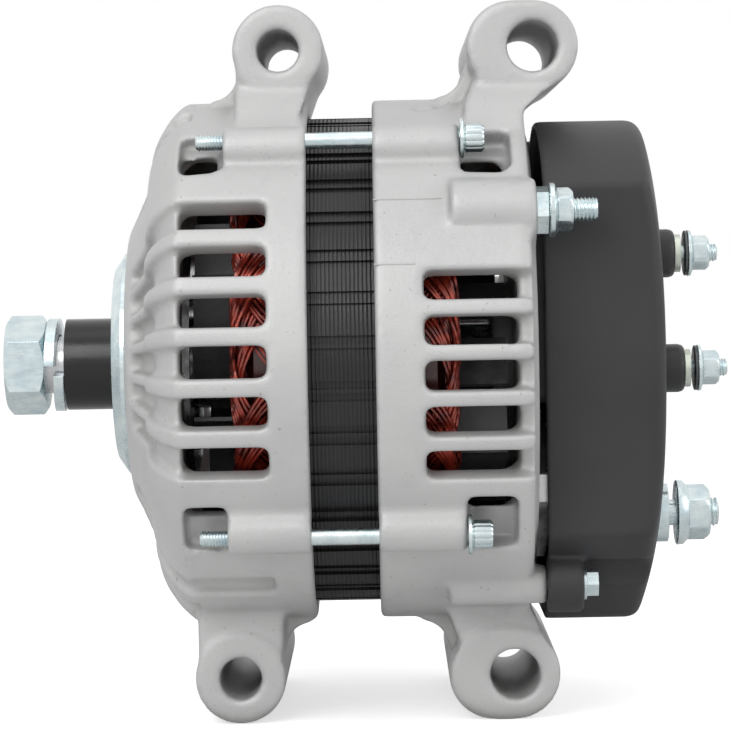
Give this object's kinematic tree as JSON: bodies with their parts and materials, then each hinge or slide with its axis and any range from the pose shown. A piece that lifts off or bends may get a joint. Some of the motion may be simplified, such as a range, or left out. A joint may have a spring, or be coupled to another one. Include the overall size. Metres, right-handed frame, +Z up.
{
  "type": "generator alternator head",
  "caption": "Claw pole generator alternator head: slotted cast housings on a stator pack, internal fans, moulded rear cover with terminal studs and four mounting ears.",
  "frame": {"origin": "on the floor under the lower ears, midway along the overall length and on the shaft's plane", "axes": "+X along the shaft towards the rear cover, +Y to the far side, +Z up"},
  "size_m": [0.2478, 0.18, 0.244],
  "materials": {
    "cast_aluminium": "as cast, fine matt grain",
    "machined_aluminium": "satin",
    "stator_steel": "black varnished laminations",
    "copper": "glossy red-brown enamelled wire",
    "zinc": "pale bright zinc plating",
    "bearing_steel": "ground",
    "pole_steel": "dark forged steel",
    "fan_steel": "dark pressed steel",
    "collar_black": "smooth black, half gloss",
    "cover_plastic": "matt black moulding",
    "moulded_plastic": "matt black moulding",
    "slip_ring_copper": "turned copper",
    "brush_carbon": "matt carbon",
    "spring_steel": "drawn wire",
    "diode_metal": "nickel plated"
  },
  "bodies": {
    "stator_body": {"drive_end_housing": "cast_aluminium", "rear_housing": "cast_aluminium", "negative_heat_sink": "machined_aluminium", "positive_heat_sink": "machined_aluminium", "stator_core": "stator_steel", "stator_winding": "copper", "through_bolts": "zinc", "cover_screws": "zinc", "output_stud": "zinc", "output_nut": "zinc", "output_spacer": "zinc", "terminal_studs": "zinc", "terminal_washers": "zinc", "terminal_nuts": "zinc", "ground_stud": "zinc", "ground_jam_nut": "zinc", "ground_nut": "zinc", "retainer_screws": "zinc", "front_bearing_outer": "bearing_steel", "rear_bearing_outer": "bearing_steel", "bearing_retainer": "bearing_steel", "rear_cover": "cover_plastic", "terminal_insulators": "moulded_plastic", "voltage_regulator": "moulded_plastic", "brush_holder": "moulded_plastic", "rectifier_posts": "moulded_plastic", "front_brush_spring": "spring_steel", "rear_brush_spring": "spring_steel", "diodes": "diode_metal"},
    "rotor": {"rotor_shaft": "bearing_steel", "front_claw_pole": "pole_steel", "rear_claw_pole": "pole_steel", "field_coil": "copper", "front_fan": "fan_steel", "rear_fan": "fan_steel", "front_bearing_inner": "bearing_steel", "rear_bearing_inner": "bearing_steel", "slip_ring_sleeve": "moulded_plastic", "slip_rings": "slip_ring_copper", "bearing_spacer": "bearing_steel", "slinger_disc": "zinc", "shaft_collar": "collar_black", "lock_washer": "zinc", "shaft_nut": "zinc"},
    "front_brush_body": {"front_brush": "brush_carbon"},
    "rear_brush_body": {"rear_brush": "brush_carbon"}
  },
  "joints": [
    {"name": "rotor_spin", "type": "hinge", "parent": "stator_body", "child": "rotor", "pos_m": [-0.0061, 0, 0.1225], "axis": [1, 0, 0], "continuous": true},
    {"name": "front_brush_slide", "type": "slide", "parent": "stator_body", "child": "front_brush_body", "axis": [0, 0, 1], "range_m": [0, 0.005], "stiffness_N_per_m": 400, "springref_m": -0.006, "deforming": ["front_brush_spring"]},
    {"name": "rear_brush_slide", "type": "slide", "parent": "stator_body", "child": "rear_brush_body", "axis": [0, 0, 1], "range_m": [0, 0.005], "stiffness_N_per_m": 400, "springref_m": -0.006, "deforming": ["rear_brush_spring"]}
  ]
}
